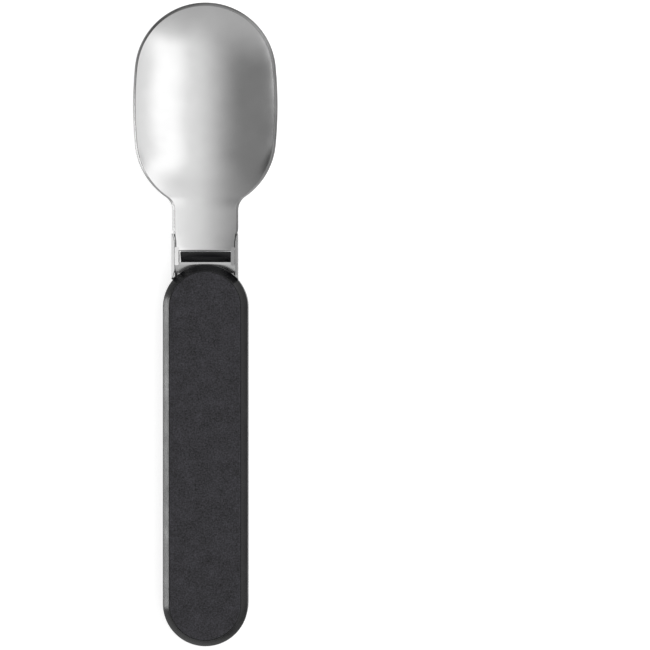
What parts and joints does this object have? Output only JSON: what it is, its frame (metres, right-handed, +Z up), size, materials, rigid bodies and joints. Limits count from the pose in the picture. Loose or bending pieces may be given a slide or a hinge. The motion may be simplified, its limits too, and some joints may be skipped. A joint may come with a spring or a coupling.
{
  "type": "folding spoon",
  "caption": "Folding travel spoon: a stamped steel bowl on a riveted fork hinge folds up and over onto the grip panel of a flat black handle.",
  "frame": {"origin": "middle of the handle's flat underside, the face the open spoon lies on", "axes": "+Y along the spoon from the handle to the bowl's tip, +Z up out of the bowl's hollow, +X to the right with the bowl away from the viewer"},
  "size_m": [0.0354, 0.1578, 0.0095],
  "materials": {
    "bowl_steel": "polished stainless, fine brushing",
    "hinge_steel": "satin stainless",
    "fastener_steel": "satin stainless",
    "washer_plastic": "natural, low friction",
    "shell_black": "smooth semi-gloss black",
    "grip_black": "fine spark grain, matt black"
  },
  "bodies": {
    "handle": {"hinge_yoke": "hinge_steel", "pivot_rivet_left": "fastener_steel", "pivot_rivet_right": "fastener_steel", "friction_washer_left": "washer_plastic", "friction_washer_right": "washer_plastic", "handle_base": "shell_black", "handle_cover": "shell_black", "grip_panel": "grip_black", "handle_screw_1": "fastener_steel", "handle_screw_2": "fastener_steel", "handle_screw_3": "fastener_steel", "handle_screw_4": "fastener_steel"},
    "bowl": {"spoon_bowl": "bowl_steel"}
  },
  "joints": [
    {"name": "fold", "type": "hinge", "parent": "handle", "child": "bowl", "pos_m": [0, 0.0487, 0.0078], "axis": [1, 0, 0], "range_deg": [0, 180]}
  ]
}
